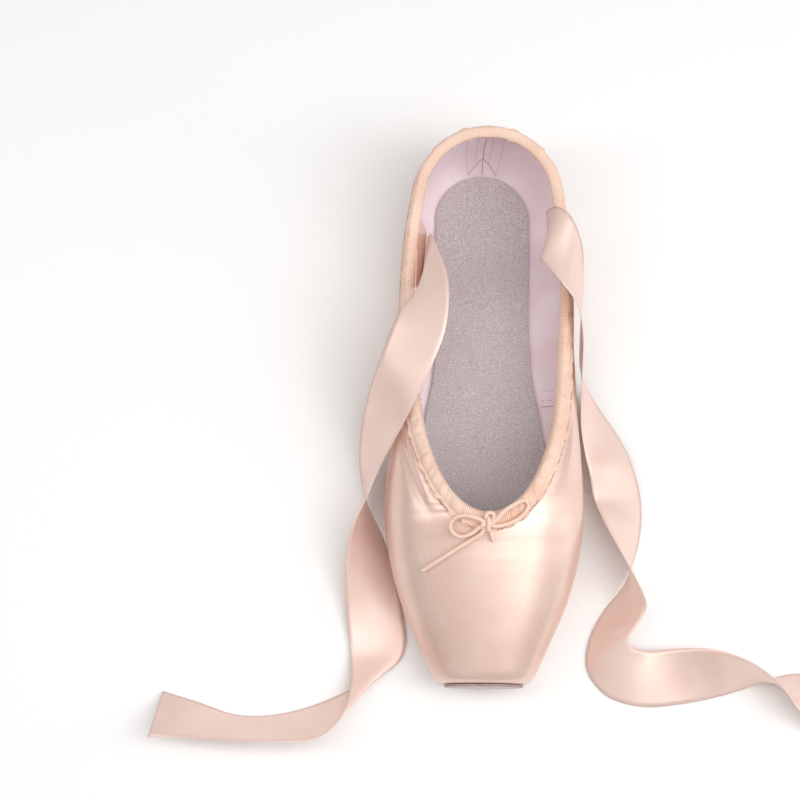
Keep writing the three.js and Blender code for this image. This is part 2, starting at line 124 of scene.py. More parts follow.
def reading(column):
    # a smooth line through one column: cubic between the rows, never past their values
    x = np.array(last["along"], float)
    y = np.array(last[column], float)
    rise = np.diff(y) / np.diff(x)
    product = rise[:-1] * rise[1:]
    total = np.where(product > 0, rise[:-1] + rise[1:], 1)
    slope = np.concatenate([rise[:1], np.where(product > 0, 2 * product / total, 0), rise[-1:]])

    def at(along):
        along = np.clip(along, x[0], x[-1])
        i = np.clip(np.searchsorted(x, along, side="right") - 1, 0, len(x) - 2)
        span = x[i + 1] - x[i]
        t = (along - x[i]) / span
        s = 1 - t
        ends = y[i] * s * s * (1 + 2 * t) + y[i + 1] * t * t * (1 + 2 * s)
        return ends + span * t * s * (slope[i] * s - slope[i + 1] * t)

    return at


halfAt, bellyAt, flatAt, underAt = (reading(c) for c in ("half", "belly", "flat", "under"))
collarAt, crestAt, wallAt = (reading(c) for c in ("collar", "crest", "wall"))


def place(along, out, up):
    # a point out from the middle line, or from the heel's centre, and up
    turn = np.maximum(along - heelCentre, 0) / (heelBack - heelCentre) * np.pi / 2
    back = np.minimum(along, heelCentre) - heelCentre
    return np.stack(np.broadcast_arrays(out * np.cos(turn), back + out * np.sin(turn), up), -1)


def closing(along, deep):
    # how far the collar's curve has closed in towards the throat, deep below its edge
    share = np.maximum(collarSide - along, 0) / (collarSide - throat + deep)
    return np.sqrt(np.maximum(1 - share**2, 0))


def crownAt(along):
    # the ridge's height that makes the crown pass through the collar's edge at its crest
    share = collarAt(along) * closing(along, 0) / halfAt(along)
    return bellyAt(along) + (crestAt(along) - bellyAt(along)) / (1 - share**crownPower) ** (1 / crownPower)


def powered(value):
    # the sine or cosine of a squared ellipse, with its sign kept
    return np.sign(value) * np.abs(value) ** (2 / crownPower)


def crownPoint(along, angle):
    # out and up on the crown, a squared ellipse from the widest point to the ridge
    rise = crownAt(along) - bellyAt(along)
    return halfAt(along) * powered(np.cos(angle)), bellyAt(along) + rise * powered(np.sin(angle))


def angleOut(along, out):
    # the crown's angle at which it's this far out
    return np.arccos(np.clip(out / halfAt(along), 0, 1) ** (crownPower / 2))


def rimOut(along, deep):
    # walks down the crown from the collar's edge, and reads how far out it is after that distance
    along, deep = np.broadcast_arrays(np.asarray(along, float), np.asarray(deep, float))
    flatAlong, flatDeep = along.ravel(), deep.ravel()
    steps = np.linspace(1, 0, 120)
    out, up = crownPoint(flatAlong[:, None], angleOut(flatAlong, collarAt(flatAlong))[:, None] * steps)
    gone = np.cumsum(np.hypot(np.diff(out, axis=1), np.diff(up, axis=1)), axis=1)
    gone = np.concatenate([np.zeros((len(flatAlong), 1)), gone], axis=1)
    i = np.clip((gone < flatDeep[:, None]).sum(1), 1, len(steps) - 1)
    row = np.arange(len(flatAlong))
    part = (flatDeep - gone[row, i - 1]) / np.maximum(gone[row, i] - gone[row, i - 1], 1e-9)
    out = out[row, i - 1] + (out[row, i] - out[row, i - 1]) * part
    return (out * closing(flatAlong, flatDeep)).reshape(along.shape)


def girthPoint(along, girth):
    # girth -1 is the middle of the bottom, 0 the edge of its flat, then angles: pi/2 widest, pi the ridge
    size = heelBack - np.abs(heelBack - along)
    half, belly, flat, under = halfAt(size), bellyAt(size), flatAt(size), underAt(size)
    crownOut, crownUp = crownPoint(size, girth - np.pi / 2)
    corner = np.clip(girth, 0, np.pi / 2)
    out = np.where(girth < 0, flat * (1 + girth), flat + (half - flat) * np.sin(corner))
    up = np.where(girth < 0, under, belly - (belly - under) * np.cos(corner))
    over = girth > np.pi / 2
    return place(along, np.where(over, crownOut, out), np.where(over, crownUp, up))


def skinAt(along, girth, lift=0.0):
    # a point of the last's surface, lifted off it along its normal
    along, girth, lift = np.broadcast_arrays(along, girth, lift)
    step = 0.02
    lengthways = girthPoint(along + step, girth) - girthPoint(along - step, girth)
    around = girthPoint(along, girth + step) - girthPoint(along, girth - step)
    normal = np.cross(lengthways, around)
    normal /= np.maximum(np.linalg.norm(normal, axis=-1, keepdims=True), 1e-12)
    return girthPoint(along, girth) + normal * lift[..., None]


def vampPoints(run):
    # points given as across, along and lift become places over the vamp
    across, along, lift = np.array(run, float).T
    points = skinAt(along, np.pi / 2 + angleOut(along, np.abs(across)), lift)
    points[:, 0] *= np.where(across < 0, -1, 1)
    return points


def gridFaces(rows, columns, wrap=False):
    # one four-sided face between each two rows and columns; wrap joins the last column to the first
    i, j = np.meshgrid(np.arange(rows - 1), np.arange(columns - (0 if wrap else 1)), indexing="ij")
    here, beside = i * columns + j, i * columns + (j + 1) % columns
    return np.stack([here, here + columns, beside + columns, beside], -1).reshape(-1, 4)


def joined(parts):
    # parts are (points, faces, uv), and come back as one
    points, faces, uvs, count = [], [], [], 0
    for p, f, uv in parts:
        points.append(p)
        faces.append(f + count)
        uvs.append(uv)
        count += len(p)
    return np.concatenate(points), np.concatenate(faces), np.concatenate(uvs)


def gridPart(points, uv, wrap=False, flip=False):
    # a grid of points and its surface places, as points, faces and uv
    rows, columns = points.shape[:2]
    faces = gridFaces(rows, columns, wrap)
    return points.reshape(-1, 3), faces[:, ::-1] if flip else faces, uv.reshape(-1, 2)


def mirrored(part):
    # the same part on the foot's other side, its faces turned to stay outwards
    points, faces, uv = part
    return points * (-1, 1, 1), faces[:, ::-1], uv * (-1, 1)


def makePiece(name, part, material, replaces=(), merge=True, wall=0.0, offset=-1):
    # points come in millimetres; uv is in millimetres of the surface too
    points, faces, uv = part
    mesh = bpy.data.meshes.new(name)
    mesh.vertices.add(len(points))
    mesh.vertices.foreach_set("co", (points * mm).ravel().astype(np.float32))
    mesh.loops.add(faces.size)
    mesh.loops.foreach_set("vertex_index", faces.ravel().astype(np.int32))
    mesh.polygons.add(len(faces))
    mesh.polygons.foreach_set("loop_start", np.arange(0, faces.size, 4, dtype=np.int32))
    mesh.uv_layers.new(name="surface")
    mesh.uv_layers[0].data.foreach_set("uv", uv[faces.ravel()].ravel().astype(np.float32))
    mesh.update(calc_edges=True)
    if merge:
        work = bmesh.new()
        work.from_mesh(mesh)
        bmesh.ops.remove_doubles(work, verts=work.verts, dist=0.004 * mm)
        bmesh.ops.dissolve_degenerate(work, edges=work.edges, dist=0.001 * mm)
        work.to_mesh(mesh)
        work.free()
    mesh.polygons.foreach_set("use_smooth", np.ones(len(mesh.polygons), bool))
    mesh.materials.append(material)
    piece = bpy.data.objects.new(name, mesh)
    bpy.context.scene.collection.objects.link(piece)
    if wall:
        solid = piece.modifiers.new("wall", "SOLIDIFY")
        solid.thickness = wall * mm
        solid.offset = offset
    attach(piece, "root")
    if replaces:
        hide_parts(*replaces)
    return piece


def arcLength(points):
    # the distance gone at each row of points, straight from one to the next
    gone = np.linalg.norm(np.diff(points, axis=0), axis=-1)
    return np.concatenate([np.zeros((1, *gone.shape[1:])), np.cumsum(gone, axis=0)])


def smoothLine(points, count):
    # a smooth line through a few points: each stretch is a cubic whose end slopes follow its neighbours
    points = np.array(points, float)
    n = len(points)
    before = np.concatenate([[2 * points[0] - points[1]], points[:-1]])
    after = np.concatenate([points[1:], [2 * points[-1] - points[-2]]])
    slope = (after - before) / 2
    t = np.linspace(0, n - 1, count)
    i = np.minimum(t.astype(int), n - 2)
    t = (t - i)[:, None]
    s = 1 - t
    ends = points[i] * s * s * (1 + 2 * t) + points[i + 1] * t * t * (1 + 2 * s)
    return ends + t * s * (slope[i] * s - slope[i + 1] * t)


def evenLine(points, count):
    # the same line with its points evenly spaced
    fine = smoothLine(points, len(points) * 24)
    gone = arcLength(fine)
    want = np.linspace(0, gone[-1], count)
    return np.stack([np.interp(want, gone, fine[:, k]) for k in range(3)], -1)


def tubePart(line, radius, sides=12, ends=True):
    # a round profile carried along a line by frames that don't twist; the ends close in small domes
    tangent = np.gradient(line, axis=0)
    tangent /= np.linalg.norm(tangent, axis=1, keepdims=True)
    side = np.empty_like(tangent)
    side[0] = np.cross(tangent[0], (0.3, 0.2, 0.93))
    for i in range(1, len(line)):
        side[i] = side[i - 1]
        side[i] -= tangent[i] * (side[i] @ tangent[i])
        side[i] /= np.linalg.norm(side[i])
    side[0] /= np.linalg.norm(side[0])
    radius = np.broadcast_to(radius, len(line)).astype(float).copy()
    centres = line
    if ends:
        turn = np.radians([90, 65, 40, 18])
        bulge = np.sin(turn)[:, None] * radius[0] * 0.35
        front = line[0] - tangent[0] * bulge
        back = (line[-1] + tangent[-1] * bulge)[::-1]
        centres = np.concatenate([front, line, back])
        tangent = np.concatenate([np.repeat(tangent[:1], 4, 0), tangent, np.repeat(tangent[-1:], 4, 0)])
        side = np.concatenate([np.repeat(side[:1], 4, 0), side, np.repeat(side[-1:], 4, 0)])
        cap = np.cos(turn)
        radius = np.concatenate([cap * radius[0], radius, (cap * radius[-1])[::-1]])
    over = np.cross(tangent, side)
    angle = np.arange(sides) * 2 * np.pi / sides
    ring = side[:, None] * np.cos(angle)[:, None] + over[:, None] * np.sin(angle)[:, None]
    points = centres[:, None] + ring * radius[:, None, None]
    gone = arcLength(centres)
    uv = np.stack(np.broadcast_arrays(gone[:, None], angle * radius.max()), -1)
    return gridPart(points, uv, wrap=True, flip=True)


def beadPart(centres, along, normal, length, width, height):
    # many small stitches at once: one low ball, stretched along its thread and flattened on the cloth
    rings, sides = 5, 8
    lat = np.linspace(-np.pi / 2, np.pi / 2, rings)
    lon = np.arange(sides) * 2 * np.pi / sides
    high, wide = np.sin(lat)[:, None], np.cos(lat)[:, None]
    ball = np.stack(np.broadcast_arrays(high, wide * np.cos(lon), wide * np.sin(lon)), -1)
    along = along / np.linalg.norm(along, axis=1, keepdims=True)
    normal = normal / np.linalg.norm(normal, axis=1, keepdims=True)
    across = np.cross(normal, along)
    axes = np.stack([along * length / 2, across * width / 2, normal * height / 2], 1)
    points = centres[:, None, None] + np.einsum("rsk,nkx->nrsx", ball, axes)
    faces = gridFaces(rings, sides, wrap=True)[:, ::-1]
    count = rings * sides
    every = (faces[None] + (np.arange(len(centres)) * count)[:, None, None]).reshape(-1, 4)
    return points.reshape(-1, 3), every, np.zeros((len(centres) * count, 2))


number = "NodeSocketFloat"


def newGroup(name, inputs, outputs):
    # an empty effect with its named sockets
    group = bpy.data.node_groups.new(name, "ShaderNodeTree")
    for label, kind, value in inputs:
        socket = group.interface.new_socket(label, in_out="INPUT", socket_type=kind)
        if value is not None:
            socket.default_value = value
    for label, kind in outputs:
        group.interface.new_socket(label, in_out="OUTPUT", socket_type=kind)
    return group, group.nodes.new("NodeGroupInput"), group.nodes.new("NodeGroupOutput")


def mathNode(tree, operation, a, b=None, c=None):
    # one sum on up to three values, each a number or another node's output
    node = tree.nodes.new("ShaderNodeMath")
    node.operation = operation
    for socket, value in zip(node.inputs, (a, b, c)):
        if value is None:
            continue
        if isinstance(value, (int, float)):
            socket.default_value = value
        else:
            tree.links.new(value, socket)
    return node.outputs[0]


def noiseIn(group, vector, detail, scale=None):
    # a noise read at vector, with its strength as the result
    node = group.nodes.new("ShaderNodeTexNoise")
    node.inputs["Detail"].default_value = detail
    if scale is not None:
        node.inputs["Scale"].default_value = scale
    group.links.new(vector, node.inputs["Vector"])
    return node


def threadGrainGroup():
    # fine streaks that run both ways of a cloth, from two noises squeezed along the surface's own sides
    group, start, end = newGroup(
        "threadGrain",
        [("Vector", "NodeSocketVector", None), ("Fine", number, 3.0), ("Length", number, 0.08)],
        [("Value", number), ("Soft", number)],
    )
    links = group.links
    split = group.nodes.new("ShaderNodeSeparateXYZ")
    links.new(start.outputs["Vector"], split.inputs[0])
    found = []
    for longways in (0, 1):
        scale = [start.outputs["Length"], start.outputs["Fine"]]
        join = group.nodes.new("ShaderNodeCombineXYZ")
        links.new(mathNode(group, "MULTIPLY", split.outputs[0], scale[longways]), join.inputs[0])
        links.new(mathNode(group, "MULTIPLY", split.outputs[1], scale[1 - longways]), join.inputs[1])
        found.append(noiseIn(group, join.outputs[0], 3, 1).outputs["Fac"])
    both = mathNode(group, "ADD", found[0], found[1])
    links.new(mathNode(group, "MULTIPLY", both, 0.5), end.inputs["Value"])
    soft = noiseIn(group, start.outputs["Vector"], 2, 0.045)
    links.new(soft.outputs["Fac"], end.inputs["Soft"])
    return group


def ribGroup():
    # rounded ribs across a tape: the sine of the distance along it, with a slight waver
    group, start, end = newGroup(
        "ribs",
        [("Vector", "NodeSocketVector", None), ("Pitch", number, 1.0), ("Waver", number, 0.2)],
        [("Height", number)],
    )
    links = group.links
    split = group.nodes.new("ShaderNodeSeparateXYZ")
    links.new(start.outputs["Vector"], split.inputs[0])
    noise = noiseIn(group, start.outputs["Vector"], 2, 0.6)
    shift = mathNode(group, "MULTIPLY", noise.outputs["Fac"], start.outputs["Waver"])
    turn = mathNode(group, "DIVIDE", mathNode(group, "ADD", split.outputs[0], shift), start.outputs["Pitch"])
    wave = mathNode(group, "SINE", mathNode(group, "MULTIPLY", turn, 2 * math.pi))
    links.new(mathNode(group, "MULTIPLY_ADD", wave, 0.5, 0.5), end.inputs["Height"])
    return group


def speckleGroup():
    # scattered flecks of two sizes and a slow change over the whole piece
    group, start, end = newGroup(
        "speckle",
        [("Vector", "NodeSocketVector", None), ("Fine", number, 2.0)],
        [("Value", number), ("Slow", number)],
    )
    links = group.links
    found = []
    for factor, detail in ((1.0, 2.0), (0.35, 4.0)):
        noise = noiseIn(group, start.outputs["Vector"], detail)
        links.new(mathNode(group, "MULTIPLY", start.outputs["Fine"], factor), noise.inputs["Scale"])
        found.append(noise.outputs["Fac"])
    links.new(mathNode(group, "MULTIPLY", mathNode(group, "ADD", *found), 0.5), end.inputs["Value"])
    slow = noiseIn(group, start.outputs["Vector"], 2, 0.03)
    links.new(slow.outputs["Fac"], end.inputs["Slow"])
    return group


threadGrain = threadGrainGroup()
ribs = ribGroup()
speckle = speckleGroup()


class Finish:
    # one material: its tree, its shader, and short calls for what it's made of
    def __init__(self, name, roughness, specular=0.5):
        self.material = bpy.data.materials.new(name)
        self.material.use_nodes = True
        self.tree = self.material.node_tree
        self.shader = self.tree.nodes["Principled BSDF"]
        self.settle("Roughness", roughness)
        self.settle("Specular IOR Level", specular)

    def surface(self):
        node = self.tree.nodes.new("ShaderNodeUVMap")
        node.uv_map = "surface"
        return node.outputs[0]

    def place(self, scale):
        coordinates = self.tree.nodes.new("ShaderNodeTexCoord")
        mapping = self.tree.nodes.new("ShaderNodeMapping")
        mapping.inputs["Scale"].default_value = (scale,) * 3
        self.tree.links.new(coordinates.outputs["Object"], mapping.inputs[0])
        return mapping.outputs[0]

    def group(self, tree, vector, **values):
        node = self.tree.nodes.new("ShaderNodeGroup")
        node.node_tree = tree
        self.tree.links.new(vector, node.inputs["Vector"])
        for label, value in values.items():
            node.inputs[label.capitalize()].default_value = value
        return node

    def ramp(self, value, *stops):
        # colours between stops, read by a value from 0 to 1
        node = self.tree.nodes.new("ShaderNodeValToRGB")
        while len(node.color_ramp.elements) < len(stops):
            node.color_ramp.elements.new(0.5)
        for element, (position, color) in zip(node.color_ramp.elements, stops):
            element.position = position
            element.color = (*color, 1)
        self.tree.links.new(value, node.inputs[0])
        return node.outputs[0]

    def mix(self, factor, a, b, kind="MIX"):
        # two colours blended by a factor; each may be a number, a colour or a node's output
        node = self.tree.nodes.new("ShaderNodeMix")
        node.data_type = "RGBA"
        node.blend_type = kind
        for socket, value in ((node.inputs[0], factor), (node.inputs[6], a), (node.inputs[7], b)):
            if isinstance(value, (int, float)):
                socket.default_value = value
            elif isinstance(value, tuple):
                socket.default_value = (*value, 1)
            else:
                self.tree.links.new(value, socket)
        return node.outputs[2]

    def color(self, value):
        self.tree.links.new(value, self.shader.inputs["Base Color"])

    def rough(self, value, low, high):
        # roughness from low to high as the value goes from 0 to 1
        node = self.tree.nodes.new("ShaderNodeMapRange")
        node.inputs["To Min"].default_value = low
        node.inputs["To Max"].default_value = high
        self.tree.links.new(value, node.inputs["Value"])
        self.tree.links.new(node.outputs[0], self.shader.inputs["Roughness"])

    def bump(self, height, strength, distance):
        node = self.tree.nodes.new("ShaderNodeBump")
        node.inputs["Strength"].default_value = strength
        node.inputs["Distance"].default_value = distance * mm
        self.tree.links.new(height, node.inputs["Height"])
        self.tree.links.new(node.outputs[0], self.shader.inputs["Normal"])

    def turned(self, vector, angle):
        node = self.tree.nodes.new("ShaderNodeMapping")
        node.inputs["Rotation"].default_value = (0, 0, angle)
        self.tree.links.new(vector, node.inputs[0])
        return node.outputs[0]

    def settle(self, label, value):
        self.shader.inputs[label].default_value = value


def satinFinish(name, light, deep, sheen, roughness=0.32, fine=4.5, streaks=0.26, metal=0.34):
    # shiny threads: part metal, so the shine takes the cloth's colour, under a warm sheen at its edges
    finish = Finish(name, roughness, 0.85)
    grain = finish.group(threadGrain, finish.surface(), fine=fine, length=0.16)
    face = finish.ramp(grain.outputs["Soft"], (0.35, deep), (0.65, light))
    streak = finish.ramp(grain.outputs["Value"], (0.35, (0.66, 0.58, 0.55)), (0.62, (1, 1, 1)))
    finish.color(finish.mix(streaks, face, streak, "MULTIPLY"))
    finish.rough(grain.outputs["Value"], roughness - 0.06, roughness + 0.08)
    finish.bump(grain.outputs["Value"], 0.10, 0.05)
    finish.settle("Metallic", metal)
    finish.settle("Anisotropic", 0.4)
    finish.settle("Sheen Weight", 0.25)
    finish.settle("Sheen Roughness", 0.3)
    finish.settle("Sheen Tint", (*sheen, 1))
    return finish.material


satinColors = {"light": (0.89, 0.665, 0.575), "deep": (0.85, 0.60, 0.50), "sheen": (0.95, 0.46, 0.28)}
ribbonColors = {"light": (0.93, 0.71, 0.63), "deep": (0.90, 0.65, 0.57), "sheen": (0.95, 0.58, 0.44)}
satin = satinFinish("shoeSatin", **satinColors)
ribbonSatin = satinFinish("ribbonSatin", **ribbonColors, roughness=0.38, fine=6.0, streaks=0.12, metal=0.2)


tapeSet = {"thick": 0.8, "gap": 0.35, "slack": 0.75, "ribPitch": 0.80, "ribHigh": 0.13, "seam": 7.25}


def tapeFinish():
    # cream peach grosgrain: each rib of the mesh is painted paler on top, a painted highlight, and darker in
    # the groove beside it, a painted shade
    finish = Finish("tape", 0.78, 0.3)
    vector = finish.surface()
    rib = finish.group(ribs, vector, pitch=tapeSet["ribPitch"], waver=0.0)
    grain = finish.group(threadGrain, vector, fine=3.0, length=0.3)
    # painted highlight and shade: the rib's height colours its top pale and its groove dark
    tone = finish.ramp(rib.outputs["Height"], (0.05, (0.80, 0.50, 0.38)), (0.5, (0.98, 0.79, 0.67)))
    worn = finish.ramp(grain.outputs["Value"], (0.3, (0.86, 0.80, 0.78)), (0.6, (1, 1, 1)))
    tone = finish.mix(0.6, tone, worn, "MULTIPLY")
    slow = finish.ramp(grain.outputs["Soft"], (0.35, (0.94, 0.82, 0.76)), (0.65, (1, 1, 1)))
    finish.color(finish.mix(0.8, tone, slow, "MULTIPLY"))
    finish.bump(grain.outputs["Value"], 0.2, 0.08)
    finish.settle("Sheen Weight", 0.2)
    return finish.material


def cordFinish():
    # braided cotton: slanting ribs, painted paler on top and darker between them, a painted highlight and
    # shade
    finish = Finish("cord", 0.7, 0.35)
    vector = finish.surface()
    rib = finish.group(ribs, finish.turned(vector, 0.85), pitch=0.42, waver=0.1)
    # painted highlight and shade: the rib's height colours its top pale and the gap between ribs dark
    tone = finish.ramp(rib.outputs["Height"], (0.1, (0.86, 0.58, 0.46)), (0.7, (0.98, 0.75, 0.63)))
    finish.color(tone)
    finish.bump(rib.outputs["Height"], 0.5, 0.12)
    return finish.material


def cottonFinish():
    # the lining: a fine plain weave, with a slow random change between pinker and paler, and a painted
    # highlight that makes the crests of the weave paler
    finish = Finish("lining", 0.88, 0.25)
    vector = finish.surface()
    warp = finish.group(ribs, vector, pitch=0.62, waver=0.15)
    weft = finish.group(ribs, finish.turned(vector, math.pi / 2), pitch=0.62, waver=0.15)
    weave = mathNode(finish.tree, "MULTIPLY", warp.outputs["Height"], weft.outputs["Height"])
    grain = finish.group(threadGrain, vector, fine=1.5, length=0.2)
    tone = finish.ramp(grain.outputs["Soft"], (0.35, (0.93, 0.77, 0.81)), (0.65, (0.98, 0.88, 0.92)))
    # painted highlight: where the weave's threads stand highest, the colour is mixed towards a pale pink
    finish.color(finish.mix(mathNode(finish.tree, "MULTIPLY", weave, 0.3), tone, (0.97, 0.90, 0.92)))
    finish.bump(weave, 0.35, 0.10)
    return finish.material


def feltFinish():
    # grey felt: pale and dark flecks over a slow change from warm to cool
    finish = Finish("felt", 0.95, 0.2)
    vector = finish.place(1000)
    fleck = finish.group(speckle, vector, fine=4.2)
    stops = (0.36, (0.34, 0.29, 0.31)), (0.5, (0.56, 0.50, 0.51)), (0.64, (0.80, 0.74, 0.75))
    tone = finish.ramp(fleck.outputs["Value"], *stops)
    slow = finish.ramp(fleck.outputs["Slow"], (0.35, (0.60, 0.55, 0.57)), (0.65, (0.70, 0.66, 0.66)))
    finish.color(finish.mix(0.25, tone, slow))
    finish.bump(fleck.outputs["Value"], 0.5, 0.25)
    finish.settle("Sheen Weight", 0.3)
    return finish.material


def suedeFinish():
    # brushed suede: dark flecks, with wavering paler strokes
    finish = Finish("suede", 0.95, 0.15)
    vector = finish.place(1000)
    fleck = finish.group(speckle, vector, fine=1.1)
    rib = finish.group(ribs, vector, pitch=1.1, waver=1.2)
    tone = finish.ramp(fleck.outputs["Value"], (0.35, (0.26, 0.17, 0.16)), (0.65, (0.46, 0.32, 0.30)))
    stroke = mathNode(finish.tree, "MULTIPLY", rib.outputs["Height"], 0.18)
    finish.color(finish.mix(stroke, tone, (0.66, 0.50, 0.46)))
    finish.bump(fleck.outputs["Value"], 0.6, 0.3)
    finish.settle("Sheen Weight", 0.6)
    return finish.material


def leatherFinish():
    # buffed sole leather: fine pores, long soft scuffs
    finish = Finish("leather", 0.62, 0.4)
    vector = finish.place(1000)
    fleck = finish.group(speckle, vector, fine=0.9)
    grain = finish.group(threadGrain, vector, fine=0.5, length=0.03)
    tone = finish.ramp(fleck.outputs["Value"], (0.3, (0.50, 0.34, 0.22)), (0.7, (0.70, 0.53, 0.38)))
    scuff = mathNode(finish.tree, "MULTIPLY", grain.outputs["Value"], 0.5)
    finish.color(finish.mix(scuff, tone, (0.74, 0.58, 0.43)))
    finish.rough(fleck.outputs["Value"], 0.5, 0.75)
    finish.bump(fleck.outputs["Value"], 0.35, 0.2)
    return finish.material


def threadFinish(name, dark, light):
    # sewing thread: flecks from its dark tone to its light one
    finish = Finish(name, 0.7, 0.3)
    fleck = finish.group(speckle, finish.place(1000), fine=3.0)
    finish.color(finish.ramp(fleck.outputs["Value"], (0.3, dark), (0.7, light)))
    return finish.material


tape = tapeFinish()
braid = cordFinish()
cotton = cottonFinish()
felt = feltFinish()
suede = suedeFinish()
leather = leatherFinish()
mauveThread = threadFinish("mauveThread", (0.50, 0.33, 0.37), (0.66, 0.48, 0.52))
seamThread = threadFinish("seamThread", (0.46, 0.30, 0.34), (0.60, 0.43, 0.47))
brownThread = threadFinish("brownThread", (0.36, 0.18, 0.12), (0.55, 0.30, 0.21))
print("materials made")

# the upper: satin outside, cotton inside
upperSet = {"columns": (14, 26, 56), "satinThick": 0.6, "liningThick": 0.5, "liningFront": 3.5}
marginSet = {"wide": 9, "front": 18, "round": 26}
soleSet = {"front": 13, "round": 24, "proud": -1.5, "thick": 2.15, "gap": 0.35, "edge": 1.0, "crown": 0.0}

pleatSet = {"pitch": 5.2, "high": 0.30, "heelPitch": 3.875, "heelHigh": 0.16}
puckerSet = {"pitch": 3.4, "high": 0.20, "deep": 6}
liftLimit = 0.9  # creases, pleats and puckers together never go past this

# creases: where they lie, how long and wide they are, which way they head, and how deep
creases = {
    "side": (-1, -1, -1, 1, 1, 1, -1, 1, -1, 1, -1, 1),
    "along": (81, 90, 99, 90, 102, 114, 136, 140, 148, 150, 126, 128),
    "girth": (2.35, 2.22, 2.12, 2.30, 2.16, 2.08, 1.1, 1.05, 1.7, 1.75, 0.7, 0.7),
    "long": (26, 26, 24, 26, 26, 22, 34, 30, 26, 28, 24, 26),
    "wide": (1.3, 1.6, 1.5, 1.4, 1.5, 1.3, 3.0, 3.2, 2.6, 2.4, 2.4, 2.6),
    "heading": (-20, -20, -19, -16, -18, -16, 35, -30, 12, -14, -40, 36),
    "deep": (0.75, 0.7, 0.6, 0.75, 0.8, 0.6, 0.55, 0.6, 0.5, 0.5, 0.6, 0.6),
}


def creaseLift(along, girth, side):
    # each crease is a soft trough with a low ridge beside it, fading towards its two ends
    lift = np.zeros(np.broadcast(along, girth).shape)
    for where, at, height, length, width, heading, deep in zip(*creases.values()):
        if where != side:
            continue
        u = along - at
        v = (girth - height) * 24
        turn = math.radians(heading)
        onward = u * math.cos(turn) + v * math.sin(turn)
        across = v * math.cos(turn) - u * math.sin(turn)
        fade = np.exp(-((2 * onward / length) ** 4))
        ridge = np.exp(-(((across - 1.9 * width) / width) ** 2))
        lift = lift - deep * (np.exp(-((across / width) ** 2)) - 0.6 * ridge) * fade
    return lift


def pleatLift(along, girth):
    # gathers under the box and the heel: waves that fan out from the edge of the outsole
    flat = flatAt(along)
    out = np.where(girth < 0, flat * (1 + girth), flat + 12 * np.sin(np.clip(girth, 0, 1.5)))
    edge = soleSet["front"] + soleSet["round"]
    front = np.maximum(edge - along, 0)
    toeFan = np.arctan2(front, out) * 24 + np.maximum(along - edge, 0) / pleatSet["pitch"] * 2 * np.pi
    away = np.hypot(out / (flat + 1e-6), front / soleSet["round"]) - 0.96
    near = np.exp(-((away / 0.30) ** 2)) * np.clip((78 - along) / 24, 0, 1)
    heel = np.clip((along - heelCentre) / 12, 0, 1) * np.exp(-(((girth - 0.15) / 0.5) ** 2))
    wave = np.sin(toeFan) + 0.4 * np.sin(toeFan * 1.7 + 1)
    heelWave = np.sin(along / pleatSet["heelPitch"] * 2 * np.pi)
    return pleatSet["high"] * near * wave + pleatSet["heelHigh"] * heel * heelWave


def puckerLift(along, girth, top):
    # small gathers of the satin along the tape, strongest round the throat
    below = (top - girth) * 24
    gone = np.arctan2(along - throat, 26) * 26 + np.maximum(along - collarSide, 0)
    strong = np.exp(-np.maximum(along - 100, 0) / 40) * np.clip((along - throat + 16) / 16, 0, 1)
    wave = np.sin(gone / puckerSet["pitch"] * 2 * np.pi + 0.8 * np.sin(gone / 7))
    return puckerSet["high"] * strong * np.exp(-((below / puckerSet["deep"]) ** 2)) * wave


def upperGrid(lift, side=1, shaped=False):
    # sections from the turned-in margin under the foot to the collar's rim, for one side of the foot
    turn = np.linspace(0, np.pi / 2, 46)
    reach = collarSide - throat + rimDrop
    front = 4 + (throat - rimDrop - 4) * np.linspace(0, 1, 44)[:-1] ** 1.15
    back = np.linspace(collarSide, heelBack, 84)[1:]
    stations = np.concatenate([[0, 0.25, 0.8, 1.6, 2.6], front, collarSide - reach * np.cos(turn), back])
    along = stations[:, None]
    bottomSteps, cornerSteps, crownSteps = upperSet["columns"]
    share = np.clip((marginSet["front"] + marginSet["round"] - along) / marginSet["round"], 0, 1)
    margin = (flatAt(along) - marginSet["wide"]) * np.sqrt(1 - share**2) / flatAt(along) - 1
    low = margin * (1 - np.linspace(0, 1, bottomSteps, endpoint=False))
    corner = np.linspace(0, np.pi / 2, cornerSteps, endpoint=False)
    top = np.pi / 2 + angleOut(along, rimOut(along, rimDrop))
    crown = np.pi / 2 + (top - np.pi / 2) * np.linspace(0, 1, crownSteps)
    girth = np.concatenate([low, np.broadcast_to(corner, (len(stations), cornerSteps)), crown], axis=1)
    raised = np.broadcast_to(lift(along), girth.shape)
    if shaped:
        ends = np.clip((top - girth) * 12, 0, 1) * np.clip(along / 4, 0, 1)
        raised = raised + creaseLift(along, girth, side) * ends
        raised = raised + pleatLift(along, girth) * np.clip(along / 8, 0, 1)
        raised = raised + puckerLift(along, girth, top) * ends
        raised = liftLimit * np.tanh(raised / liftLimit)
    points = skinAt(along, girth, raised)
    points[girth[:, -1] > np.pi - 1e-4, -1, 0] = 0
    points[girth[:, 0] < -1 + 1e-6, 0, 0] = 0
    points[-1, :, 0] = 0
    return points, stations


def withPlatform(points):
    # the toe's flat face: the first outline drawn in towards its middle
    shrink = np.array([0, 0.25, 0.5, 0.75, 0.9, 0.97])[:, None, None]
    middle = np.array([0, points[0, 0, 1], bellyAt(0.0)])
    return np.concatenate([middle + (points[:1] - middle) * shrink, points])


def surfaceUv(points):
    # distance round the foot, back from its last column, and distance along it down the middle column
    around = arcLength(points.swapaxes(0, 1)).T
    lengthways = arcLength(points)[:, points.shape[1] // 2, None]
    return np.stack(np.broadcast_arrays(around - around[:, -1:], lengthways), -1)


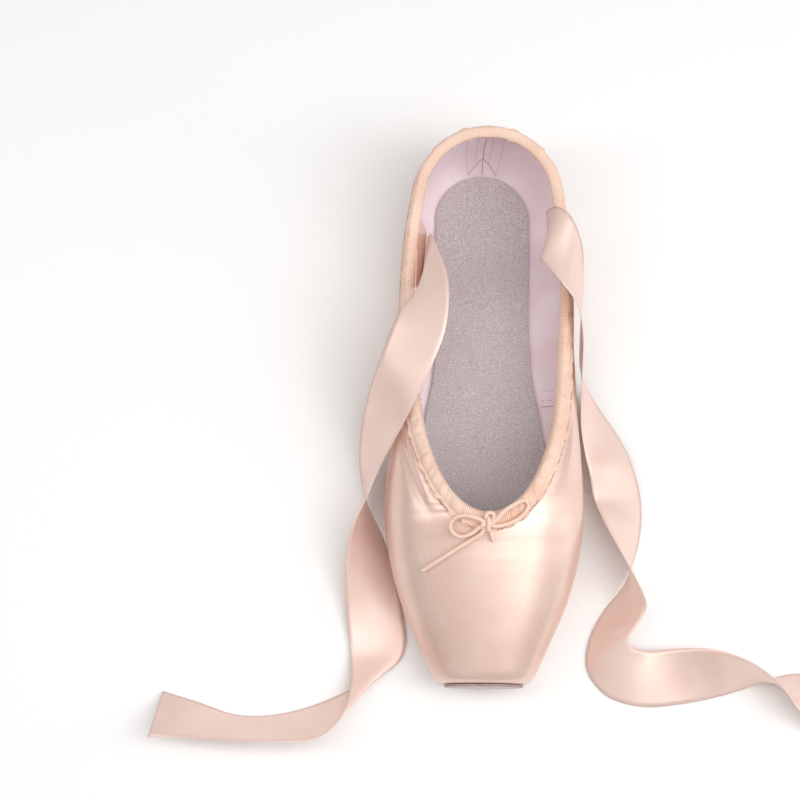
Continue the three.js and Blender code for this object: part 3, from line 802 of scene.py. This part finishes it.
def makeUpper():
    # both sides' creased sections, with the toe's flat face
    parts = []
    for side in (1, -1):
        points = withPlatform(upperGrid(np.zeros_like, side, shaped=True)[0])
        part = gridPart(points, surfaceUv(points))
        parts.append(part if side > 0 else mirrored(part))
    makePiece("satinUpper", joined(parts), satin, ("upper",), wall=upperSet["satinThick"])


def innerFace(along):
    # the lift of the wall's inner face: its thickness, inwards
    return -wallAt(along)


def makeLining():
    # the wall's inner face, from the tape down to under the insole; the toe's end is left inside the box
    inside, stations = upperGrid(innerFace)
    inside = withPlatform(inside[stations > upperSet["liningFront"]])
    part = gridPart(inside, surfaceUv(inside), flip=True)
    makePiece("lining", joined([part, mirrored(part)]), cotton, wall=upperSet["liningThick"])


makeUpper()
makeLining()
print("upper and lining made")

# insole and outsole: flat plates with rounded edges
insoleSet = {"front": 24, "round": 26, "proud": 1.6, "thick": 2.0, "gap": 0.35, "edge": 0.9, "crown": 0.15}


def plateGrid(spec, lowAt):
    # half of a plate: from the middle of its top out over the rounded edge and back under to the middle
    front, rounding = spec["front"], spec["round"]
    turn = np.radians(np.linspace(0, 90, 26))
    stations = front + rounding * (1 - np.cos(turn))
    stations = np.concatenate([stations, np.linspace(front + rounding, heelBack, 130)[1:]])
    along = stations[:, None]
    share = np.clip((front + rounding - along) / rounding, 0, 1)
    reach = (flatAt(along) + spec["proud"]) * np.sqrt(1 - share**2)
    bend = np.radians(np.linspace(0, 180, 13))
    out = np.concatenate([np.linspace(0, 1, 12), np.ones(13), np.linspace(1, 0, 8)])
    pull = np.concatenate([np.zeros(12), np.sin(bend), np.zeros(8)])
    drop = np.concatenate([np.zeros(12), (1 - np.cos(bend)) / 2, np.ones(8)])
    small = np.minimum(spec["edge"], reach)
    across = (reach - small) * out + small * pull * (out > 0.999)
    up = lowAt(along) + spec["thick"] * (1 - drop)
    up = up + spec["crown"] * (1 - (across / np.maximum(reach, 1e-6)) ** 2) * (drop < 0.5)
    points = place(along, across, up)
    points[-1, :, 0] = 0
    uv = np.stack([np.broadcast_to(across, up.shape), np.broadcast_to(along, up.shape)], -1)
    return gridPart(points, uv, flip=True)


def insoleLow(along):
    # the insole's underside: a gap above the upper's turned-in margin
    return underAt(along) + wallAt(along) + insoleSet["gap"]


def soleLow(along):
    # the outsole's underside: its thickness and a gap below the upper
    return underAt(along) - soleSet["gap"] - soleSet["thick"]


def makePlate(name, spec, lowAt, material, node):
    # half a plate and its mirror
    half = plateGrid(spec, lowAt)
    makePiece(name, joined([half, mirrored(half)]), material, (node,))


makePlate("insoleFelt", insoleSet, insoleLow, felt, "insole")
makePlate("soleLeather", soleSet, soleLow, leather, "outsole")

# the suede disc on the platform
patchSet = {"gap": 0.35, "thick": 1.0, "share": 0.97}


def makePatch():
    # the toe's outline drawn in, from the middle of its back over a rounded rim to the middle of its face
    side = np.linspace(0, np.pi / 2, 14)[:-1]
    girth = np.concatenate([np.linspace(-1, 0, 10)[:-1], side, np.linspace(np.pi / 2, np.pi, 26)])
    outline = girthPoint(np.zeros_like(girth), girth)
    outline[[0, -1], 0] = 0
    middle = np.array([0, outline[0, 1], bellyAt(0.0)])
    back, front = patchSet["gap"], patchSet["gap"] + patchSet["thick"]
    turn = np.radians(np.linspace(0, 90, 6))
    share = np.concatenate([[0, 0.5, 0.97], 0.97 + 0.03 * np.cos(turn), [0.9, 0.8, 0.6, 0.4, 0.2, 0]])
    rise = np.concatenate([[back] * 3, back + (front - back) * np.sin(turn), [front] * 6])
    points = middle + (outline[None] - middle) * patchSet["share"] * share[:, None, None]
    points[..., 1] = middle[1] - rise[:, None]
    part = gridPart(points, points[..., [0, 2]])
    makePiece("toeSuede", joined([part, mirrored(part)]), suede, ("toe_patch",))


makePatch()
print("soles and toe patch made")

# the tape's profile: how deep below the rim each row lies, how full it is, and how far puckers move it
tapeProfile = {
    "outsideDeep": (8.0, 7.7, 7.2, 6.6, 6.2, 5.9, 5.6, 5.2, 4.6, 3.9, 3.2, 2.5, 1.8, 1.1),
    "outsideFull": (0.45, 0.62, 0.68, 0.62, 0.40, 0.28, 0.42, 0.75, 1.05, 1.25, 1.32, 1.30, 1.2, 1.02),
    "outsideHeld": (1.0, 1.0, 0.9, 0.6, 0.3, 0.15, 0.3, 0.6, 0.9, 1.1, 1.2, 1.2, 1.1, 1.0),
    "insideDeep": (1.2, 2.0, 3.0, 4.0, 5.0, 6.0, 6.8, 7.4, 7.8),
    "insideFull": (0.80, 0.95, 1.0, 0.95, 0.85, 0.7, 0.6, 0.55, 0.45),
}


def tapeAlong(tau, deep):
    # tau 0 to 1 takes a quarter turn round the throat, and 1 to 2 runs straight back to the heel
    turn = np.clip(tau, 0, 1) * np.pi / 2
    front = collarSide - (collarSide - throat + deep) * np.cos(turn)
    return np.where(tau < 1, front, collarSide + (tau - 1) * (heelBack - collarSide))


def tapePoint(tau, deep, lift):
    # a place along the collar, deep below its edge and lifted off the last
    along = tapeAlong(tau, deep)
    return skinAt(along, np.pi / 2 + angleOut(along, rimOut(along, deep)), lift)


def tapePath(count):
    # evenly spaced places along half the collar, and the distance gone at each
    tau = np.linspace(0, 2, 1600)
    gone = arcLength(tapePoint(tau, 0.0, 0.0))
    want = np.linspace(0, gone[-1], count)
    return np.interp(want, gone, tau), want


def gatherWave(gone):
    # uneven puckers: four waves of different length, the third with a phase that drifts
    turns = gone * 2 * np.pi
    slow = 0.8 * np.sin(turns / 11.3 + 0.9) + 0.6 * np.sin(turns / 6.7 + 0.4)
    return slow + 0.5 * np.sin(turns / 4.3 + 1.3 * np.sin(gone / 17)) + 0.25 * np.sin(turns / 2.9)


def makeTape():
    # rows round the tape's profile: down the outside, over the rim, down the inside and back between
    gap, thick, pitch = tapeSet["gap"], tapeSet["thick"], tapeSet["ribPitch"]
    ribCount = round(float(tapePath(2)[1][-1]) / pitch)
    tau, gone = (line[:, None] for line in tapePath(ribCount * 4 + 1))
    inner = -(wallAt(tapeAlong(tau, 0)) + tapeSet["slack"])
    rib = tapeSet["ribHigh"] * (np.abs(np.cos(gone / pitch * np.pi)) - 0.6)
    strong = 0.20 + 0.40 * np.exp(-((gone / 46) ** 2)) + 0.10 * np.exp(-(((gone - gone.max()) / 30) ** 2))
    pucker = gatherWave(gone) * strong
    wave = 0.35 * gatherWave(gone * 0.8 + 3) * strong / 0.4
    relief = rib + pucker * 0.8
    # the outside: selvedge, a groove where it's sewn, then the full part that holds the drawstring
    rows = []
    for d, f, h in zip(*(tapeProfile["outside" + k] for k in ("Deep", "Full", "Held"))):
        deep = np.maximum(d + wave * (d > 6.8), 0.2)
        rows.append(tapePoint(tau, deep, gap + f + relief * h * (0.5 + 0.5 * (f > 0.4))))
    # over the top in a half turn, then down the inside
    middleLift = (gap + 1.0 + inner - 0.8) / 2
    reach = (gap + 1.0 - inner + 0.8) / 2
    for angle in np.radians(np.linspace(12, 168, 9)):
        high, sideways = 1.1 * (1 - math.sin(angle)), math.cos(angle)
        top = tapePoint(tau, high, middleLift + reach * sideways + rib * sideways)
        rows.append(top + liftUp(rib, pucker, angle))
    for d, f in zip(tapeProfile["insideDeep"], tapeProfile["insideFull"]):
        lift = inner - f - relief * 0.9 - 0.5 * np.maximum(pucker, 0) * (d > 4)
        rows.append(tapePoint(tau, d + wave * 0.8 * (d > 6.5), lift))
    rows += [tapePoint(tau, d, inner) for d in (7.8, 5.0, 2.5, thick)]
    rows += [tapePoint(tau, d, gap + 0 * tau) for d in (thick, 2.5, 5.0, 7.9)]
    rows = np.concatenate(rows, axis=1).reshape(len(gone), -1, 3)
    rows[[0, -1], :, 0] = 0
    uv = np.stack(np.broadcast_arrays(gone + pitch / 4, arcLength(rows[len(rows) // 2])[None]), -1)
    part = gridPart(rows, uv, wrap=True)
    makePiece("collarTape", joined([part, mirrored(part)]), tape, ("binding",))


def liftUp(rib, pucker, angle):
    # straight up, most at the top of the half turn
    high = (rib * 0.9 + pucker * 0.35) * math.sin(angle)
    return np.concatenate([np.zeros((*high.shape, 2)), high[..., None]], -1)


makeTape()
print("tape made")

# stitches are long, wide and high; places are along the foot, with the girth where a row starts or ends
stitchSet = {
    "tapeCount": 170, "tapeSize": (1.0, 0.45, 0.4), "tapeLift": 0.72,
    "liningPitch": 1.75, "liningSize": (0.95, 0.36, 0.3), "liningTop": 2.0,
    "besideHeel": ((3.4, 0.80), (8.2, 0.34)), "besideSide": ((122.6, 0.3), (126.6, 0.3)),
}


def stitchRow(tau, deep, lift, side):
    # stitches that follow the tape, each from its place towards the next
    here, ahead = tapePoint(tau, deep, lift), tapePoint(tau + 0.002, deep, lift)
    part = beadPart(here, ahead - here, tapePoint(tau, deep, lift + 0.5) - here, *stitchSet["tapeSize"])
    return part if side > 0 else mirrored(part)


def liningLine(along, girth, lift):
    # places on the lining evenly spaced down a line of stitches
    fine = [np.full(200, along), np.linspace(*girth, 200)]
    gone = arcLength(skinAt(*fine, -wallAt(fine[0]) - lift))
    want = np.arange(0.6, gone[-1], stitchSet["liningPitch"])
    return [np.interp(want, gone, line) for line in fine]


def liningStitches(along, low, side):
    # stitches down the lining at one place along the foot, from the tape to a low girth
    along, girth = liningLine(along, (stitchSet["liningTop"], low), 0.05)
    lift = -wallAt(along) - 0.03
    here = skinAt(along, girth, lift)
    normal = skinAt(along, girth, lift - 0.5) - here
    part = beadPart(here, np.gradient(here, axis=0), normal, *stitchSet["liningSize"])
    return part if side > 0 else mirrored(part)


def makeStitches():
    # the tape's row follows its seam; the lining's rows run down beside its own seams
    tau = tapePath(stitchSet["tapeCount"])[0][1:-1]
    lift = tapeSet["gap"] + stitchSet["tapeLift"]
    seam = [stitchRow(tau, tapeSet["seam"], lift, side) for side in (1, -1)]
    makePiece("tapeStitches", joined(seam), brownThread, merge=False)
    # on each side, two rows beside the heel's seam, then two rows behind the side seam
    lines = [(heelBack - away, low) for away, low in stitchSet["besideHeel"]] + list(stitchSet["besideSide"])
    rows = [liningStitches(along, low, side) for side in (1, -1) for along, low in lines]
    makePiece("liningStitches", joined(rows), mauveThread, merge=False)


def seamTube(along, girth, lift, radius, side=1, centred=False):
    # a thin tube between two places on the last, straight in along and girth
    share = np.linspace(0, 1, 48)
    along, girth = (pair[0] + (pair[1] - pair[0]) * share for pair in (along, girth))
    line = skinAt(along, girth, lift(along))
    if centred:
        line[:, 0] = 0
    part = tubePart(line, radius, 8)
    return part if side > 0 else mirrored(part)


def onLining(along):
    # just proud of the lining
    return -wallAt(along) - 0.02


def onSatin(along):
    # just proud of the satin
    return np.full_like(along, 0.02)


seamSet = {
    "liningHeel": 0.2, "liningFork": 0.16, "liningSide": 0.2, "satin": 0.28,
    "liningAlong": 120, "satinAlong": 119, "forkBack": 8.6,
    "heelGirth": (0.35, 2.0), "forkGirth": (1.02, 0.36),
    "liningGirth": (0.25, 2.0), "satinGirth": (0.4, 1.95),
}


def makeSeams():
    # where the lining's pieces meet: up the heel's back, parting in two above the insole, and down each side
    heel, girth = (heelBack, heelBack), seamSet["heelGirth"]
    parts = [seamTube(heel, girth, onLining, seamSet["liningHeel"], centred=True)]
    fork = (heelBack - 0.3, heelBack - seamSet["forkBack"])
    down = (seamSet["liningAlong"],) * 2
    for side in (1, -1):
        parts.append(seamTube(fork, seamSet["forkGirth"], onLining, seamSet["liningFork"], side))
        parts.append(seamTube(down, seamSet["liningGirth"], onLining, seamSet["liningSide"], side))
    makePiece("liningSeams", joined(parts), seamThread, merge=False)
    # the satin's back seam and side seams
    parts = [seamTube(heel, girth, onSatin, seamSet["satin"], centred=True)]
    down = (seamSet["satinAlong"],) * 2
    parts += [seamTube(down, seamSet["satinGirth"], onSatin, seamSet["satin"], side) for side in (1, -1)]
    makePiece("satinSeams", joined(parts), satin, merge=False)


makeStitches()
makeSeams()
print("stitches and seams made")

# the drawstring's bow: places over the vamp as across, along and lift
bowSet = {"thick": 1.7, "sides": 14}
bowRuns = {
    "bow_loop_left": (
        (-3.6, 64.4, 3.8),
        (-7.8, 65.7, 4.4),
        (-11.8, 65.6, 3.8),
        (-14.8, 63.2, 3),
        (-14.3, 59.8, 2.6),
        (-11.2, 57.8, 2.4),
        (-7.4, 58.8, 2.6),
        (-4.1, 61.2, 3),
    ),
    "bow_loop_right": (
        (2.9, 61.9, 3),
        (8.2, 63.2, 2.7),
        (12.8, 66, 2.8),
        (15.2, 69.8, 3.1),
        (13.4, 72.2, 3.7),
        (9, 70.2, 4.4),
        (5, 67, 4.3),
        (2.6, 64.5, 3.8),
    ),
    "bow_end_long": (
        (-3.5, 58.6, 2.7),
        (-7, 56.4, 2),
        (-10.8, 54, 1.8),
        (-15.8, 50.8, 1.7),
        (-20.8, 47.7, 1.7),
        (-25.6, 44.6, 1.8),
    ),
    "bow_end_short": (
        (0.6, 59.5, 2.7),
        (1.3, 57.6, 2.4),
        (1.9, 55.8, 2.1),
    ),
}
knotPlace = (-0.6, 62.8, 3.4)


def makeBow():
    # round cords along smooth lines, whose strands all start in the knot
    radius = bowSet["thick"] / 2
    knot = vampPoints([knotPlace])[0]
    # the knot: a band wrapped round the strands, a small curl above it and the short end below
    turn = np.radians(np.linspace(0, 345, 30))
    onward, over = np.sin(turn), np.cos(turn)
    band = knot + np.stack([0.25 * onward + 0.35 * turn / 6, 2.5 * over, 1.35 * onward], -1)
    curlTurn = np.radians(np.linspace(-70, 215, 24))
    onward, over = np.sin(curlTurn), np.cos(curlTurn)
    curl = knot + np.stack([0.9 + 1.7 * over, 2.9 + 1.6 * onward, 0.5 + 0.5 * onward], -1)
    bend = 0.5 * np.sin(np.linspace(-2, 2, 12))
    core = knot + np.stack([np.linspace(-2.6, 2.6, 12), bend, np.zeros(12)], -1)
    short = vampPoints(bowRuns["bow_end_short"])
    short = evenLine(np.concatenate([[knot + (0.3, -1.2, 0)], short]), 14)
    strands = (band, 1.1), (curl, 1), (core, 1.25), (short, 0.96)
    parts = [tubePart(line, radius * full, bowSet["sides"]) for line, full in strands]
    knotPiece = makePiece("bowKnot", joined(parts), braid, ("bow_knot", "bow_end_short"), merge=False)
    cords = {
        "bow_loop_left": ("bowLoopLeft", "object", True),
        "bow_loop_right": ("bowLoopRight", "object", True),
        "bow_end_long": ("bowEndLong", "bare", False),
    }
    for node, (name, farEnd, closes) in cords.items():
        run = vampPoints(bowRuns[node])
        first = [knot + (run[0] - knot) * 0.25]
        run = np.concatenate([first, run, [knot + (run[-1] - knot) * 0.25]] if closes else [first, run])
        line = evenLine(run, 60)
        piece = makePiece(name, tubePart(line, radius, bowSet["sides"]), braid, (node,), merge=False)


makeBow()

# the ankle ribbons: satin bands, from where they're sewn, over the collar and along the floor
# each column is one value of the folds: the middle of the width, the way it points in plan, and its tilt
ribbonSet = {
    "wide": 24, "thick": 0.32, "across": 13, "between": 12, "hollow": 0.55, "hollowPitch": 61, "low": 0.45,
}
ribbonFolds = {
    "ribbonLeft": {
        "x": (-26.2, -25.9, -26, -26.6, -27, -29.2, -34.6, -40, -44.5, -48, -49, -49, -47.5, -45.5,
              -43.5, -46, -55, -69, -86, -103, -120, -136),
        "y": (-28.5, -28.8, -31.5, -37.5, -48, -61, -75.5, -88, -100, -113, -126, -140, -155, -172,
              -188, -201, -211, -219, -222, -222, -219, -216.5),
        "z": (34.5, 41, 47.2, 51.6, 54.2, 53.6, 49, 41.5, 31, 19, 12.9, 10.9, 6.6, 2.6, 1.6, 4.2, 7.2,
              9.6, 11.1, 11.2, 9.8, 7.5),
        "across": (84, 83, 78, 64, 28, -5, -19, -25, -20, -12, 0, 0, 0, 4, 12, 32, 58, 82, 94, 90, 80,
              78),
        "tilt": (0, 0, 3, 9, 23, 24, 27, 34, 48, 68, 90, 123, 150, 171, 176, 163, 147, 131, 119, 118,
              130, 145),
    },
    "ribbonRight": {
        "x": (28.4, 26.2, 25, 29.4, 34.9, 38.8, 40.4, 41.4, 45.5, 50.5, 54.5, 58, 60, 61.5, 62, 60, 55,
              53, 58.5, 70, 84, 98, 111, 122, 133, 146, 160, 176),
        "y": (-19.5, -19.2, -18.6, -23.8, -33, -44.5, -59, -74, -89, -100, -110, -123, -136, -149,
              -160, -171, -181, -190, -197, -199.5, -198.5, -197.5, -198.5, -201, -205, -210, -215,
              -221),
        "z": (34, 43.5, 50.3, 53.4, 51.2, 43.5, 32.5, 23, 15.5, 12, 10.5, 7.5, 9.5, 12.1, 13, 9.9, 8.6,
              7.4, 5.6, 3.4, 4.4, 8.4, 12, 12.6, 9.4, 4.2, 1.4, 1.2),
        "across": (98, 97, 73, 65, 64, 70, 78, 72, 50, 35, 25, 10, 0, 0, 0, 5, 16, 40, 65, 82, 92, 94,
              92, 86, 78, 70, 66, 68),
        "tilt": (0, 0, 2, 0, -28, -56, -74, -70, -52, -38, -30, -27, -44, -70, -95, -132, -141, -147,
              -157, -168, -162, -142, -113, -82, -45, -14, -2, 0),
    },
}


def ribbonEdges(folds):
    # each fold gives the two ends of the ribbon's width
    plan, rise = np.radians(folds["across"]), np.radians(folds["tilt"])
    middle = np.stack([np.array(folds[k], float) for k in "xyz"], -1)
    reach = np.stack([np.cos(rise) * np.cos(plan), np.cos(rise) * np.sin(plan), np.sin(rise)], -1)
    half = ribbonSet["wide"] / 2
    return middle - reach * half, middle + reach * half


def makeRibbon(name, node):
    # straight across between its two edges, which are smooth lines through the ends of the folds
    near, far = ribbonEdges(ribbonFolds[name])
    count = (len(near) - 1) * ribbonSet["between"] + 1
    near, far = smoothLine(near, count), smoothLine(far, count)
    share = np.linspace(0, 1, ribbonSet["across"])[:, None]
    points = near[:, None] + (far - near)[:, None] * share
    onward = np.gradient(points.mean(1), axis=0)
    normal = np.cross(onward, far - near)
    normal /= np.linalg.norm(normal, axis=1, keepdims=True)
    gone = arcLength(points.mean(1))
    # a slight hollow across the width, which comes and goes
    wave = ribbonSet["hollow"] * np.sin(gone / ribbonSet["hollowPitch"] * 2 * np.pi + 0.7)
    hollow = wave[:, None] * (1 - (2 * share[:, 0] - 1) ** 2)
    points = points + normal[:, None] * hollow[..., None]
    points[..., 2] = np.maximum(points[..., 2], ribbonSet["low"])
    uv = np.stack(np.broadcast_arrays(share[:, 0] * ribbonSet["wide"], gone[:, None]), -1)
    band = gridPart(points, uv)
    piece = makePiece(name, band, ribbonSatin, (node,), wall=ribbonSet["thick"], offset=0)


stubSet = {
    "top": ((-29.6, -9, 43.6), (-30.0, -18, 43.2), (-30.2, -28, 42.2), (-30.2, -39.5, 40.6)),
    "bottom": ((-25.6, -15, 36.6), (-26.2, -22, 36.0), (-27.0, -30, 35.4), (-28.2, -41, 34.8)),
    "wide": 9,
}


def makeStub():
    # the left ribbon's end, turned back and sewn along the tape's inner edge; its cut end looks to the toe
    top, bottom = smoothLine(stubSet["top"], 40), smoothLine(stubSet["bottom"], 40)
    share = np.linspace(0, 1, 9)[:, None]
    points = top[:, None] + (bottom - top)[:, None] * share
    gone = arcLength(points.mean(1))
    uv = np.stack(np.broadcast_arrays(share[:, 0] * stubSet["wide"], gone[:, None]), -1)
    makePiece("ribbonStub", gridPart(points, uv), ribbonSatin, wall=ribbonSet["thick"], offset=0)


makeStub()
makeRibbon("ribbonLeft", "ribbon_left")
makeRibbon("ribbonRight", "ribbon_right")
print("ribbons made")


def makeFloor():
    # one large square, just under the sole
    side = floorSet["size"] / 2
    mesh = bpy.data.meshes.new("floor")
    low = -floorSet["below"]
    corners = [(-side, -side, low), (side, -side, low), (side, side, low), (-side, side, low)]
    mesh.from_pydata(corners, [], [(0, 1, 2, 3)])
    floor = bpy.data.objects.new("floor", mesh)
    bpy.context.scene.collection.objects.link(floor)
    finish = Finish("floor", 0.8, 0.2)
    finish.settle("Base Color", floorSet["color"])
    mesh.materials.append(finish.material)


makeFloor()
